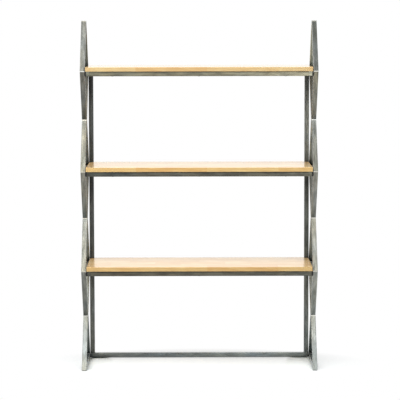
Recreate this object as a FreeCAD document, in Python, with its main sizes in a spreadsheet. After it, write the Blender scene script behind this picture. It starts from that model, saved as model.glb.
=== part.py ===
"""Open bookcase: two zigzag steel side frames, three oak shelves and two back posts.

Millimetres, +X to the right, +Y to the back, +Z up.
The origin is on the floor, under the middle of the bookcase.
"""
import FreeCAD, Part
import os
import Sketcher

Vector = FreeCAD.Vector

doc = FreeCAD.newDocument("zigzag_bookcase")

# Driving dimensions, in millimetres
SIZES = {
    # whole bookcase
    "overall_width": 1100,
    "overall_depth": 380,
    "half_rise": 232,
    "foot_height": 3,
    # square steel tube
    "tube_size": 22,
    "tube_wall": 1.5,
    "tube_round": 2,
    # flat plates between the struts, and the caps on open tube ends
    "plate_thickness": 4,
    "plate_round": 1,
    "cap_thickness": 2,
    # shelf frames
    "side_gap": 0.5,
    "rail_inset": 4,
    # oak boards
    "board_thickness": 20,
    "board_inset": 2,
    "board_end_inset": 2.5,
    "board_easing": 1.5,
    "notch_clearance": 1,
    # bolts that hold the side frames to the shelf frames
    "bolt_diameter": 6,
    "bolt_head_diameter": 9.5,
    "bolt_head_height": 3.3,
    "bolt_socket_size": 4,
    "bolt_socket_depth": 2,
    "bolt_clearance": 0.2,
    "bush_diameter": 8.5,
    "bush_length": 8,
    "bush_clearance": 0.25,
    "spacer_wall": 2.8,
    "access_diameter": 10,
    "plug_length": 4,
    "plug_clearance": 0.1,
    "plug_easing": 0.6,
    # screws that hold the boards down
    "screw_diameter": 4,
    "screw_length": 33,
    "screw_spread": 400,
    "screw_head_diameter": 8,
    "screw_head_height": 1.3,
    "screw_socket_size": 3,
    "screw_socket_depth": 0.9,
    "screw_clearance": 0.2,
    "pilot_spare": 1,
    # glides under the feet of the side frames
    "glide_margin": 0.75,
    "glide_taper": 1.5,
}
SHEET = "Sizes"

STRUTS_PER_ZIGZAG = 7
HALVES_PER_SHELF = 2
SHELF_NAMES = ("lower", "middle", "upper")
SHELVES = {name: HALVES_PER_SHELF * number for number, name in enumerate(SHELF_NAMES, start=1)}
SIDE_SHARES = {"left": -1, "right": 1}
FACE_SHARES = {"front": -1, "back": 1}
SHELF_STEPS = list(SHELVES.values())
TOP_STEP = SHELVES["upper"]
SCREW_SPREAD_SHARES = (-1, 0, 1)
PLANES = {"X": "YZ_Plane", "Y": "XZ_Plane", "Z": "XY_Plane"}
SOCKET_SIDES = 6

sheet = doc.addObject("Spreadsheet::Sheet", SHEET)
for row, (alias, millimetres) in enumerate(SIZES.items(), start=1):
    sheet.set(f"A{row}", alias)
    sheet.set(f"B{row}", str(millimetres))
    sheet.setAlias(f"B{row}", alias)
doc.recompute()


def value(formula):
    """The number that a formula of the sheet gives now."""
    return float(sheet.evalExpression(formula))


# Places that several pieces share, as formulas of the sheet
HALF_DEPTH = "(Sizes.overall_depth / 2)"
HALF_TUBE = "(Sizes.tube_size / 2)"
BORE = "(Sizes.tube_size - 2 * Sizes.tube_wall)"
SIDE_X = "((Sizes.overall_width - Sizes.tube_size) / 2)"
SIDE_INNER_X = "(Sizes.overall_width / 2 - Sizes.tube_size)"
RACK_END_X = f"({SIDE_INNER_X} - Sizes.side_gap)"
RACK_SIDE_X = f"({RACK_END_X} - {HALF_TUBE})"
RACK_INNER_X = f"({RACK_END_X} - Sizes.tube_size)"
RAIL_FRONT_Y = f"(Sizes.rail_inset - {HALF_DEPTH})"
FRONT_RAIL_Y = f"({RAIL_FRONT_Y} + {HALF_TUBE})"
POST_Y = f"({HALF_DEPTH} - {HALF_TUBE})"
POST_FRONT_Y = f"({HALF_DEPTH} - Sizes.tube_size)"
BACK_RAIL_Y = f"({POST_FRONT_Y} - {HALF_TUBE})"
BOTTOM_RAIL_TOP_Z = "(Sizes.foot_height + Sizes.tube_size)"
BASE_Z = f"(Sizes.foot_height + {HALF_TUBE})"
BASE_BOLT_Z = f"({BASE_Z} - Sizes.plate_thickness / 2)"
BUSH_REACH = "(Sizes.tube_wall + Sizes.bush_clearance + Sizes.bush_diameter / 2)"
BOLT_Y = f"({POST_FRONT_Y} + {BUSH_REACH})"
BOLT_HOLE = "(Sizes.bolt_diameter + 2 * Sizes.bolt_clearance)"
SCREW_HOLE = "(Sizes.screw_diameter + 2 * Sizes.screw_clearance)"


def level(step):
    """Height of the end of a half diamond, counted from the floor."""
    return f"(Sizes.foot_height + {step} * Sizes.half_rise)"


def rail_z(step):
    """Height of the middle of the rails under the shelf at a step."""
    return f"({level(step)} - {HALF_TUBE})"


def strut_rise(step):
    """Height of one strut between the plates that it is welded to."""
    if step == 0:
        return "(Sizes.half_rise - Sizes.plate_thickness / 2)"
    if step == STRUTS_PER_ZIGZAG - 1:
        return "(Sizes.half_rise - Sizes.plate_thickness * 3 / 2)"
    return "(Sizes.half_rise - Sizes.plate_thickness)"


def strut_foot(step):
    """Height of the lower end of one strut."""
    if step == 0:
        return "Sizes.foot_height"
    return f"({level(step)} + Sizes.plate_thickness / 2)"


def strut_run(step):
    """How far a strut leans in depth, so that its level cut ends flush with the front."""
    lean = f"(1 - (Sizes.tube_size / {strut_rise(step)}) ^ 2)"
    reach = f"({HALF_DEPTH} ^ 2 - Sizes.tube_size ^ 2)"
    return f"(({HALF_DEPTH} - sqrt({HALF_DEPTH} ^ 2 - {lean} * {reach})) / {lean})"


def strut_cut(step):
    """Depth of a strut's level cut, which is wider than the tube because it leans."""
    return f"({HALF_DEPTH} - {strut_run(step)})"


def bind(thing, **formulas):
    """Tie properties to formulas; place_x and its like stand for the Placement."""
    for name, formula in formulas.items():
        path = name
        if name.startswith("place_"):
            path = f"Placement.Base.{name[-1]}"
        thing.setExpression(path, formula)


def new_body(label):
    body = doc.addObject("PartDesign::Body", label)
    body.Label = label
    return body


def new_sketch(body, name, plane_role):
    """A sketch on one of the body's own origin planes."""
    sketch = body.newObject("Sketcher::SketchObject", name)
    planes = [feature for feature in body.Origin.OriginFeatures if feature.Role == plane_role]
    sketch.AttachmentSupport = [(planes[0], "")]
    sketch.MapMode = "FlatFace"
    return sketch


def draw_outline(sketch, corners):
    """A closed outline whose corners are pairs of formulas, each tied to the origin."""
    points = [Vector(value(x), value(y), 0) for x, y in corners]
    count = len(points)
    lines = []
    for index, point in enumerate(points):
        following = points[(index + 1) % count]
        lines.append(sketch.addGeometry(Part.LineSegment(point, following), False))
    for index, line in enumerate(lines):
        following = lines[(index + 1) % count]
        sketch.addConstraint(Sketcher.Constraint("Coincident", line, 2, following, 1))
        for kind, formula in zip(("DistanceX", "DistanceY"), corners[index]):
            place = Sketcher.Constraint(kind, -1, 1, line, 1, value(formula))
            number = sketch.addConstraint(place)
            sketch.setExpression(f"Constraints[{number}]", formula)


def draw_rectangle(sketch, width, height):
    """A rectangle about the origin."""
    signs = ((-1, -1), (1, -1), (1, 1), (-1, 1))
    draw_outline(sketch, [(f"{x} * {width} / 2", f"{y} * {height} / 2") for x, y in signs])


def draw_circle(sketch, x, y, diameter):
    circle = Part.Circle(Vector(value(x), value(y), 0), Vector(0, 0, 1), value(diameter) / 2)
    line = sketch.addGeometry(circle, False)
    rules = (
        (Sketcher.Constraint("DistanceX", -1, 1, line, 3, value(x)), x),
        (Sketcher.Constraint("DistanceY", -1, 1, line, 3, value(y)), y),
        (Sketcher.Constraint("Diameter", line, value(diameter)), diameter),
    )
    for rule, formula in rules:
        number = sketch.addConstraint(rule)
        sketch.setExpression(f"Constraints[{number}]", formula)


def pad_sketch(body, sketch, length, both_ways=False):
    pad = body.newObject("PartDesign::Pad", f"{body.Label}_pad")
    pad.Profile = sketch
    if both_ways:
        pad.SideType = "Symmetric"
    bind(pad, Length=length)
    return pad


def drill(body, name, plane_role, circles, depth=None, reverse=False, both_ways=False):
    """Round holes from an origin plane, through one side of the body, or both."""
    sketch = new_sketch(body, name, plane_role)
    for x, y, diameter in circles:
        draw_circle(sketch, x, y, diameter)
    cut_sketch(body, name, sketch, depth, reverse, both_ways)


def cut_sketch(body, name, sketch, depth=None, reverse=False, both_ways=False):
    """Cut a drawn sketch out of the body, to a depth or right through."""
    before = body.Shape.Volume
    pocket = body.newObject("PartDesign::Pocket", f"{name}_cut")
    pocket.Profile = sketch
    pocket.Reversed = reverse
    if both_ways:
        pocket.SideType = "Symmetric"
    if depth is None:
        pocket.Type = "ThroughAll"
    else:
        bind(pocket, Length=depth)
    doc.recompute()
    if body.Shape.Volume >= before:
        raise ValueError(f"{name} cuts nothing")


def round_long_edges(body, pad, half_width, half_height, run_length, flat_axes):
    """Round the four outer edges along a tube, found by the corners they start from."""
    doc.recompute()
    tolerance = value("Sizes.tube_wall") / 2
    edges = []
    for number, edge in enumerate(pad.Shape.Edges, start=1):
        start = edge.Vertexes[0].Point
        end = edge.Vertexes[-1].Point
        middle = (start + end) / 2
        lower = start if start[flat_axes[2]] < end[flat_axes[2]] else end
        lean = (lower - middle) * 2
        along = abs(lean[flat_axes[2]])
        wide = abs(abs(lower[flat_axes[0]]) - half_width) < tolerance
        high = abs(abs(lower[flat_axes[1]]) - half_height) < tolerance
        if wide and high and abs(along - run_length) < tolerance:
            edges.append(f"Edge{number}")
    if len(edges) != 4:
        raise ValueError(f"{body.Label} has {len(edges)} long edges")
    fillet = body.newObject("PartDesign::Fillet", f"{body.Label}_round")
    fillet.Base = (pad, edges)
    bind(fillet, Radius="Sizes.tube_round")
    doc.recompute()


def straight_tube(label, axis, length, x, y, z):
    """A square tube along one axis, with its middle at x, y, z."""
    body = new_body(label)
    sketch = new_sketch(body, f"{label}_section", PLANES[axis])
    draw_rectangle(sketch, "Sizes.tube_size", "Sizes.tube_size")
    draw_rectangle(sketch, BORE, BORE)
    pad = pad_sketch(body, sketch, length, both_ways=True)
    run_axis = "XYZ".index(axis)
    flat_axes = [number for number in range(3) if number != run_axis] + [run_axis]
    half = value(HALF_TUBE)
    round_long_edges(body, pad, half, half, value(length), flat_axes)
    bind(body, place_x=x, place_y=y, place_z=z)
    return body


def strut(side, face, step):
    """One leaning tube of a zigzag, cut level at both ends."""
    label = f"{side}_{face}_strut_{step + 1}"
    towards_middle = step % 2 == 0
    cut = strut_cut(step)
    run = strut_run(step)
    rise = strut_rise(step)
    outer_y = f"({HALF_DEPTH} - {cut} / 2)"
    inner_y = f"({cut} / 2)"
    sign = FACE_SHARES[face]
    foot_y = f"{sign} * {outer_y if towards_middle else inner_y}"
    lean = f"{-sign if towards_middle else sign} * {run}"
    body = new_body(label)
    sketch = new_sketch(body, f"{label}_section", "XY_Plane")
    draw_rectangle(sketch, "Sizes.tube_size", cut)
    draw_rectangle(sketch, BORE, f"{cut} * {BORE} / Sizes.tube_size")
    pad = pad_sketch(body, sketch, rise)
    pad.UseCustomVector = True
    pad.AlongSketchNormal = True
    bind(pad, **{"Direction.x": "0", "Direction.y": lean, "Direction.z": rise})
    round_long_edges(body, pad, value(HALF_TUBE), value(cut) / 2, value(rise), (0, 1, 2))
    hole_y = f"({sign} * {BOLT_Y} - {foot_y})"
    if step + 1 in SHELF_STEPS:
        bolt_holes(body, side, hole_y, f"({rail_z(step + 1)} - {strut_foot(step)})")
    if step == 0 and face == "back":
        bolt_holes(body, side, hole_y, f"({BASE_BOLT_Z} - {strut_foot(step)})")
    bind(body, place_x=f"{SIDE_SHARES[side]} * {SIDE_X}", place_y=foot_y, place_z=strut_foot(step))
    return body


def bolt_holes(body, side, y, z):
    """A wide hole outside for the bolt head, and a bolt hole in the inner wall."""
    outward = SIDE_SHARES[side] > 0
    access = [(y, z, "Sizes.access_diameter")]
    shank = [(y, z, BOLT_HOLE)]
    drill(body, f"{body.Label}_access", "YZ_Plane", access, reverse=outward)
    drill(body, f"{body.Label}_bolt_hole", "YZ_Plane", shank, reverse=not outward)


def plate(label, length):
    """A flat steel plate lying level, as wide as the tube, with its corners broken."""
    body = new_body(label)
    sketch = new_sketch(body, f"{label}_outline", "XY_Plane")
    draw_rectangle(sketch, "Sizes.tube_size", length)
    pad = pad_sketch(body, sketch, "Sizes.plate_thickness", both_ways=True)
    doc.recompute()
    edges = upright_edges(pad.Shape)
    fillet = body.newObject("PartDesign::Fillet", f"{label}_round")
    fillet.Base = (pad, edges)
    bind(fillet, Radius="Sizes.plate_round")
    return body


def upright_edges(shape):
    """Names of the edges that stand up along Z."""
    names = []
    for number, edge in enumerate(shape.Edges, start=1):
        along = edge.Vertexes[-1].Point - edge.Vertexes[0].Point
        if along.Length > 0 and abs(along.z) == along.Length:
            names.append(f"Edge{number}")
    return names


def end_cap(label, drilled):
    """A small steel plate that closes the end of a tube that runs along Y."""
    body = new_body(label)
    sketch = new_sketch(body, f"{label}_outline", "XZ_Plane")
    draw_rectangle(sketch, "Sizes.tube_size", "Sizes.tube_size")
    if drilled:
        draw_circle(sketch, f"{BOLT_Y} - {POST_Y}", f"{BASE_BOLT_Z} - {BASE_Z}", BOLT_HOLE)
    pad = pad_sketch(body, sketch, "Sizes.cap_thickness", both_ways=True)
    half = value(HALF_TUBE)
    round_long_edges(body, pad, half, half, value("Sizes.cap_thickness"), (0, 2, 1))
    return body


def fastener(label, part):
    """A screw along Z: its head stands on the origin, and its shank runs down."""
    head = doc.addObject("Part::Cylinder", f"{label}_head")
    bind(head, Radius=f"Sizes.{part}_head_diameter / 2", Height=f"Sizes.{part}_head_height")
    shank = doc.addObject("Part::Cylinder", f"{label}_shank")
    length = fastener_length(part)
    bind(shank, Radius=f"Sizes.{part}_diameter / 2", Height=length, place_z=f"-{length}")
    blank = doc.addObject("Part::Fuse", f"{label}_blank")
    blank.Base = head
    blank.Tool = shank
    socket = doc.addObject("Part::Prism", f"{label}_socket")
    socket.Polygon = SOCKET_SIDES
    top = f"Sizes.{part}_head_height - Sizes.{part}_socket_depth"
    bind(socket, Circumradius=f"Sizes.{part}_socket_size / sqrt(3)", place_z=top)
    bind(socket, Height=f"Sizes.{part}_socket_depth")
    screw = doc.addObject("Part::Cut", label)
    screw.Base = blank
    screw.Tool = socket
    return screw


def fastener_length(part):
    if part == "bolt":
        return "(2 * Sizes.tube_wall + Sizes.side_gap + Sizes.bush_length)"
    return f"Sizes.{part}_length"


def ring(label, outer, inner, length):
    """A hollow cylinder whose top is at the origin."""
    tube = doc.addObject("Part::Cylinder", f"{label}_outside")
    bind(tube, Radius=f"{outer} / 2", Height=length, place_z=f"-{length}")
    bore = doc.addObject("Part::Cylinder", f"{label}_bore")
    bind(bore, Radius=f"{inner} / 2", Height=length, place_z=f"-{length}")
    sleeve = doc.addObject("Part::Cut", label)
    sleeve.Base = tube
    sleeve.Tool = bore
    return sleeve


def hole_plug(label):
    """A plastic plug whose face is flush with the tube, with an eased rim."""
    stem = doc.addObject("Part::Cylinder", f"{label}_stem")
    radius = "(Sizes.access_diameter / 2 - Sizes.plug_clearance)"
    bind(stem, Radius=radius, Height="Sizes.plug_length", place_z="-Sizes.plug_length")
    doc.recompute()
    rims = []
    for number, edge in enumerate(stem.Shape.Edges, start=1):
        if edge.Closed and abs(edge.CenterOfMass.z) < value("Sizes.plug_clearance"):
            rims.append(number)
    easing = value("Sizes.plug_easing")
    plug = doc.addObject("Part::Chamfer", label)
    plug.Base = stem
    plug.Edges = [(number, easing, easing) for number in rims]
    return plug


def glide(label):
    """A plastic foot under a strut, narrower at the floor; it is made standing along Y."""
    pad = doc.addObject("Part::Wedge", label)
    half_width = f"({HALF_TUBE} - Sizes.glide_margin)"
    half_depth = f"({strut_cut(0)} / 2 - Sizes.glide_margin)"
    for name, formula in (("X2", half_width), ("Z2", half_depth)):
        bind(pad, **{f"{name}min": f"-{formula}", f"{name}max": formula})
    for name, wide in (("X", half_width), ("Z", half_depth)):
        formula = f"({wide} - Sizes.glide_taper)"
        bind(pad, **{f"{name}min": f"-{formula}", f"{name}max": formula})
    bind(pad, Ymin="0", Ymax="Sizes.foot_height")
    return pad


def group(label, copies):
    """One node of separate solids: each copy is a pattern piece, its place and its turn."""
    links = []
    for pattern, place, turn in copies:
        link = doc.addObject("App::Link", f"{label}_copy")
        link.LinkedObject = pattern
        link.Placement = FreeCAD.Placement(Vector(), turn)
        x, y, z = place
        bind(link, place_x=x, place_y=y, place_z=z)
        links.append(link)
    compound = doc.addObject("Part::Compound", label)
    compound.Label = label
    compound.Links = links
    return compound


UNTURNED = FreeCAD.Rotation()
QUARTER = FreeCAD.Rotation(Vector(0, 0, 1), 90)
STANDING = FreeCAD.Rotation(Vector(1, 0, 0), 90)
OUTWARD = {
    "left": FreeCAD.Rotation(Vector(0, 1, 0), -90),
    "right": FreeCAD.Rotation(Vector(0, 1, 0), 90),
}


def board(name, step):
    """An oak shelf, notched round the posts where they pass it."""
    label = f"{name}_board"
    end_x = f"({RACK_END_X} - Sizes.board_end_inset)"
    front_y = f"(Sizes.board_inset - {HALF_DEPTH})"
    notch_x = f"({RACK_INNER_X} - Sizes.notch_clearance)"
    notch_y = f"({POST_FRONT_Y} - Sizes.notch_clearance)"
    right_half = [(end_x, front_y), (end_x, HALF_DEPTH)]
    if step != TOP_STEP:
        right_half = [(end_x, front_y), (end_x, notch_y), (notch_x, notch_y), (notch_x, HALF_DEPTH)]
    left_half = [(f"-{x}", y) for x, y in reversed(right_half)]
    body = new_body(label)
    sketch = new_sketch(body, f"{label}_outline", "XY_Plane")
    draw_outline(sketch, right_half + left_half)
    pad = pad_sketch(body, sketch, "Sizes.board_thickness")
    doc.recompute()
    ease_front_edges(body, pad, value(front_y))
    pilots = []
    for rail_y in (FRONT_RAIL_Y, BACK_RAIL_Y):
        for share in SCREW_SPREAD_SHARES:
            pilots.append((f"{share} * Sizes.screw_spread", rail_y, SCREW_HOLE))
    depth = "(Sizes.screw_length - Sizes.tube_size + Sizes.pilot_spare)"
    drill(body, f"{label}_pilots", "XY_Plane", pilots, depth=depth, reverse=True)
    bind(body, place_z=level(step))
    return body


def ease_front_edges(body, pad, front_y):
    """Round the two long edges at the front of a board."""
    tolerance = value("Sizes.board_easing") / 2
    names = []
    for number, edge in enumerate(pad.Shape.Edges, start=1):
        points = [vertex.Point for vertex in edge.Vertexes]
        at_front = all(abs(point.y - front_y) < tolerance for point in points)
        if at_front and abs(points[0].x - points[-1].x) > tolerance:
            names.append(f"Edge{number}")
    fillet = body.newObject("PartDesign::Fillet", f"{body.Label}_easing")
    fillet.Base = (pad, names)
    bind(fillet, Radius="Sizes.board_easing")
    doc.recompute()


def shelf_frame(name, step):
    """Front, back and side rails under one board."""
    z = rail_z(step)
    rails = []
    cross_length = f"2 * {RACK_INNER_X}"
    for face, y in (("front", FRONT_RAIL_Y), ("back", BACK_RAIL_Y)):
        rail = straight_tube(f"{name}_{face}_rail", "X", cross_length, "0", y, z)
        holes = [(f"{share} * Sizes.screw_spread", "0", SCREW_HOLE) for share in SCREW_SPREAD_SHARES]
        drill(rail, f"{rail.Label}_screw_holes", "XY_Plane", holes, both_ways=True)
        rails.append(rail)
    start_y = f"({RAIL_FRONT_Y} + Sizes.cap_thickness)"
    length = f"({POST_FRONT_Y} - {start_y})"
    middle_y = f"({POST_FRONT_Y} + {start_y}) / 2"
    for side, sign in SIDE_SHARES.items():
        x = f"{sign} * {RACK_SIDE_X}"
        rail = straight_tube(f"{name}_{side}_rail", "Y", length, x, middle_y, z)
        hole = [(f"-{BOLT_Y} - {middle_y}", "0", BOLT_HOLE)]
        drill(rail, f"{rail.Label}_bolt_hole", "YZ_Plane", hole, reverse=sign > 0)
        rails.append(rail)
    return rails


def back_post(side):
    """An upright tube behind the shelves, from the bottom rail to the upper board."""
    sign = SIDE_SHARES[side]
    length = f"({level(TOP_STEP)} - {BOTTOM_RAIL_TOP_Z})"
    middle_z = f"(({level(TOP_STEP)} + {BOTTOM_RAIL_TOP_Z}) / 2)"
    post = straight_tube(f"{side}_back_post", "Z", length, f"{sign} * {RACK_SIDE_X}", POST_Y, middle_z)
    hole_y = f"({BOLT_Y} - {POST_Y})"
    holes = [(hole_y, f"({rail_z(step)} - {middle_z})", BOLT_HOLE) for step in SHELF_STEPS]
    drill(post, f"{post.Label}_bolt_holes", "YZ_Plane", holes, reverse=sign > 0)
    return post


def base_bar(side):
    """A tube between the feet of one side frame, its ends cut to lie against the lowest struts."""
    reach = strut_run(0)
    lean = f"({strut_run(0)} * Sizes.tube_size / {strut_rise(0)})"
    x = f"{SIDE_SHARES[side]} * {SIDE_X}"
    bar = straight_tube(f"{side}_base_bar", "Y", f"(2 * {reach})", x, "0", BASE_Z)
    name = f"{side}_base_bar_ends"
    sketch = new_sketch(bar, name, "YZ_Plane")
    for share in FACE_SHARES.values():
        foot = (f"{share} * {reach}", f"-{HALF_TUBE}")
        top = (f"{share} * {reach}", HALF_TUBE)
        inner = (f"{share} * ({reach} - {lean})", HALF_TUBE)
        draw_outline(sketch, [foot, top, inner])
    cut_sketch(bar, name, sketch, both_ways=True)
    return bar


def bolt_places(x):
    """Side, and place of every bolt line at a distance x from the middle."""
    places = []
    for side, sign in SIDE_SHARES.items():
        for step in SHELF_STEPS:
            for face in FACE_SHARES.values():
                places.append((side, (f"{sign} * {x}", f"{face} * {BOLT_Y}", rail_z(step))))
    return places


def base_bolt_places(x):
    """Side and place of the two bolts into the ends of the bottom rail."""
    return [(side, (f"{sign} * {x}", BOLT_Y, BASE_BOLT_Z)) for side, sign in SIDE_SHARES.items()]


def on_bolt_lines(label, pattern, x, base_x):
    """One copy of a pattern piece on every bolt line, turned to face outwards."""
    lines = bolt_places(x) + base_bolt_places(base_x)
    return group(label, [(pattern, place, OUTWARD[side]) for side, place in lines])


nodes = []

# Zigzag side frames
for side_name in SIDE_SHARES:
    for face_name in FACE_SHARES:
        for strut_step in range(STRUTS_PER_ZIGZAG):
            nodes.append(strut(side_name, face_name, strut_step))

tie_plate = plate("tie_plate", "Sizes.overall_depth")
tie_copies = []
for sign in SIDE_SHARES.values():
    for shelf_step in SHELF_STEPS:
        tie_copies.append((tie_plate, (f"{sign} * {SIDE_X}", "0", level(shelf_step)), UNTURNED))
nodes.append(group("tie_bars", tie_copies))

joint_plate = plate("joint_plate", f"2 * {strut_cut(1)}")
peak_plate = plate("peak_plate", f"2 * {strut_cut(STRUTS_PER_ZIGZAG - 1)}")
joint_copies = []
for sign in SIDE_SHARES.values():
    for shelf_step in SHELF_STEPS:
        joint_z = level(shelf_step - 1)
        joint_copies.append((joint_plate, (f"{sign} * {SIDE_X}", "0", joint_z), UNTURNED))
    peak_z = f"({level(STRUTS_PER_ZIGZAG)} - Sizes.plate_thickness / 2)"
    joint_copies.append((peak_plate, (f"{sign} * {SIDE_X}", "0", peak_z), UNTURNED))
nodes.append(group("joint_plates", joint_copies))

# Base and inner rack
for side_name in SIDE_SHARES:
    nodes.append(base_bar(side_name))
    nodes.append(back_post(side_name))
bottom_length = f"2 * ({RACK_END_X} - Sizes.cap_thickness)"
nodes.append(straight_tube("bottom_rail", "X", bottom_length, "0", POST_Y, BASE_Z))
for shelf_name, shelf_step in SHELVES.items():
    nodes.extend(shelf_frame(shelf_name, shelf_step))
    nodes.append(board(shelf_name, shelf_step))

plain_cap = end_cap("plain_cap", drilled=False)
drilled_cap = end_cap("drilled_cap", drilled=True)
cap_copies = []
for sign in SIDE_SHARES.values():
    for shelf_step in SHELF_STEPS:
        cap_y = f"({RAIL_FRONT_Y} + Sizes.cap_thickness / 2)"
        cap_copies.append((plain_cap, (f"{sign} * {RACK_SIDE_X}", cap_y, rail_z(shelf_step)), UNTURNED))
    cap_x = f"{sign} * ({RACK_END_X} - Sizes.cap_thickness / 2)"
    cap_copies.append((drilled_cap, (cap_x, POST_Y, BASE_Z), QUARTER))
nodes.append(group("end_caps", cap_copies))

# Fasteners and feet
bearing_x = f"({SIDE_INNER_X} + Sizes.tube_wall)"
nodes.append(on_bolt_lines("frame_bolts", fastener("frame_bolt", "bolt"), bearing_x, bearing_x))
bush = ring("threaded_bush", "Sizes.bush_diameter", BOLT_HOLE, "Sizes.bush_length")
bush_x = f"({RACK_END_X} - Sizes.tube_wall)"
nodes.append(on_bolt_lines("threaded_bushes", bush, bush_x, f"({RACK_END_X} - Sizes.cap_thickness)"))
spacer_diameter = f"({BOLT_HOLE} + 2 * Sizes.spacer_wall)"
spacer = ring("frame_spacer", spacer_diameter, BOLT_HOLE, "Sizes.side_gap")
nodes.append(on_bolt_lines("frame_spacers", spacer, SIDE_INNER_X, SIDE_INNER_X))
outer_x = "(Sizes.overall_width / 2)"
nodes.append(on_bolt_lines("hole_plugs", hole_plug("hole_plug"), outer_x, outer_x))

shelf_screw = fastener("shelf_screw", "screw")
upside_down = FreeCAD.Rotation(Vector(1, 0, 0), 180)
screw_copies = []
for shelf_step in SHELF_STEPS:
    under_z = f"({level(shelf_step)} - Sizes.tube_size)"
    for rail_y in (FRONT_RAIL_Y, BACK_RAIL_Y):
        for share in SCREW_SPREAD_SHARES:
            place = (f"{share} * Sizes.screw_spread", rail_y, under_z)
            screw_copies.append((shelf_screw, place, upside_down))
nodes.append(group("shelf_screws", screw_copies))

glide_copies = []
foot = glide("glide")
for sign in SIDE_SHARES.values():
    for face in FACE_SHARES.values():
        glide_y = f"{face} * ({HALF_DEPTH} - {strut_cut(0)} / 2)"
        glide_copies.append((foot, (f"{sign} * {SIDE_X}", glide_y, "0"), STANDING))
nodes.append(group("glides", glide_copies))

doc.recompute()
for thing in doc.Objects:
    if "Invalid" in thing.State or "Error" in thing.State:
        raise ValueError(f"{thing.Label} failed: {thing.State}")
for node in nodes:
    if node.Shape.isNull() or not node.Shape.isValid():
        raise ValueError(f"{node.Label} has no valid shape")

os.makedirs("parts", exist_ok=True)
for node in nodes:
    node.Shape.exportStep(f"parts/{node.Label}.step")
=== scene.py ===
"""Looks of the open bookcase: brushed steel zigzag frames, oak shelves, weld beads and a white studio.

Metres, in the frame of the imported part: +X to the right, +Y to the back, +Z up, floor at zero.
"""
import math

import bpy
from mathutils import Matrix, Vector


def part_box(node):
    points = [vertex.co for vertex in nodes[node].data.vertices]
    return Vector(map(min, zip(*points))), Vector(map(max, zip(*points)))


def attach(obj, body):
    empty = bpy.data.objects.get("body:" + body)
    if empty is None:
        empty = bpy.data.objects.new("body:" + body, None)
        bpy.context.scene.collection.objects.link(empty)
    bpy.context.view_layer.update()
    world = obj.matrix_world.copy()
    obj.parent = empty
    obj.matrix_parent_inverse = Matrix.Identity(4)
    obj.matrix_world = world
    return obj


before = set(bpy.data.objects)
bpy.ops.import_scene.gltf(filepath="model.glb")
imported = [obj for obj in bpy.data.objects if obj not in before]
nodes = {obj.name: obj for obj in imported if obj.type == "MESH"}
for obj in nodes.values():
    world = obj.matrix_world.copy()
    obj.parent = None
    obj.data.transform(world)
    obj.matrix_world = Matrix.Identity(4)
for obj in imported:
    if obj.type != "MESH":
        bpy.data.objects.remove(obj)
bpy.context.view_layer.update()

MM = 0.001
SIDES = ("left", "right")
FACES = ("front", "back")
SHELVES = ("lower", "middle", "upper")
STRUTS_PER_ZIGZAG = 7
RIGHT_ANGLE = math.pi / 2
UP = (0, 0, 1)

# Sockets of the colour mix node, which shares its socket names between kinds of value
MIX_SHARE = 0
MIX_A = 6
MIX_B = 7
MIX_COLOUR = 2
# Sockets of the random number node for single numbers
RANDOM_LOW = 2
RANDOM_HIGH = 3
RANDOM_NUMBER = 1


# Small helpers

def linear(hex_colour):
    """The linear colour of an sRGB hex value."""
    parts = [int(hex_colour[i:i + 2], 16) / 255 for i in (1, 3, 5)]
    straight = [p / 12.92 if p <= 0.04045 else ((p + 0.055) / 1.055) ** 2.4 for p in parts]
    return (*straight, 1)


def shaded(tones, share):
    """Hex tones made lighter or darker by a share."""
    parts = [[int(tone[i:i + 2], 16) for i in (1, 3, 5)] for tone in tones]
    return ["#" + "".join(f"{min(255, round(share * part)):02X}" for part in tone) for tone in parts]


def add_node(tree, kind, inputs=(), **settings):
    """A new node with its settings, and its inputs set to values or linked to sockets."""
    node = tree.nodes.new(kind)
    for name, setting in settings.items():
        setattr(node, name, setting)
    for key, given in dict(inputs).items():
        if isinstance(given, bpy.types.NodeSocket):
            tree.links.new(given, node.inputs[key])
        else:
            node.inputs[key].default_value = given
    return node


def new_material(name):
    """An empty node material, its tree and its Object coordinates."""
    material = bpy.data.materials.new(name)
    material.use_nodes = True
    tree = material.node_tree
    tree.nodes.clear()
    place = add_node(tree, "ShaderNodeTexCoord").outputs["Object"]
    return material, tree, place


def close_material(tree, inputs):
    """Ends a material's tree in one principled shader."""
    shader = add_node(tree, "ShaderNodeBsdfPrincipled", inputs)
    add_node(tree, "ShaderNodeOutputMaterial", {"Surface": shader.outputs["BSDF"]})


def paint(node_names, material):
    """Gives CAD nodes a material."""
    for name in node_names:
        for slot in nodes[name].material_slots:
            slot.material = material


def size_of(node_name):
    """A CAD node's extent along X, Y and Z."""
    low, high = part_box(node_name)
    return Vector(high) - Vector(low)


# Sizes that the frame gives

TUBE = size_of("left_front_strut_3").x
SHELF_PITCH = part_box("middle_board")[0][2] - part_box("lower_board")[0][2]


def strut_run(node_name):
    """How far a strut leans in Y between its two level cuts."""
    extent = size_of(node_name)
    share = (TUBE / extent.z) ** 2
    inside = extent.y ** 2 - (1 - share) * (extent.y ** 2 - TUBE ** 2)
    return (extent.y - math.sqrt(inside)) / (1 - share)


STRUT_LEAN = math.atan2(strut_run("left_front_strut_3"), size_of("left_front_strut_3").z)


def leans_back(face, number):
    """True for a strut whose top is further back than its foot."""
    return (number % 2 == 1) == (face == "front")


# Wear that several materials share

def corner_share(tree, width, most):
    """A socket that rises from 0 on flat faces to the most at outer and inner corners."""
    rounded = add_node(tree, "ShaderNodeBevel", {"Radius": width}, samples=8)
    faces = add_node(tree, "ShaderNodeNewGeometry")
    match = add_node(tree, "ShaderNodeVectorMath", {
        0: rounded.outputs["Normal"], 1: faces.outputs["True Normal"]}, operation="DOT_PRODUCT")
    share = add_node(tree, "ShaderNodeMapRange", {
        "Value": match.outputs["Value"], "From Min": 0.995, "From Max": 0.85, "To Max": most})
    return share.outputs["Result"]


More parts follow.
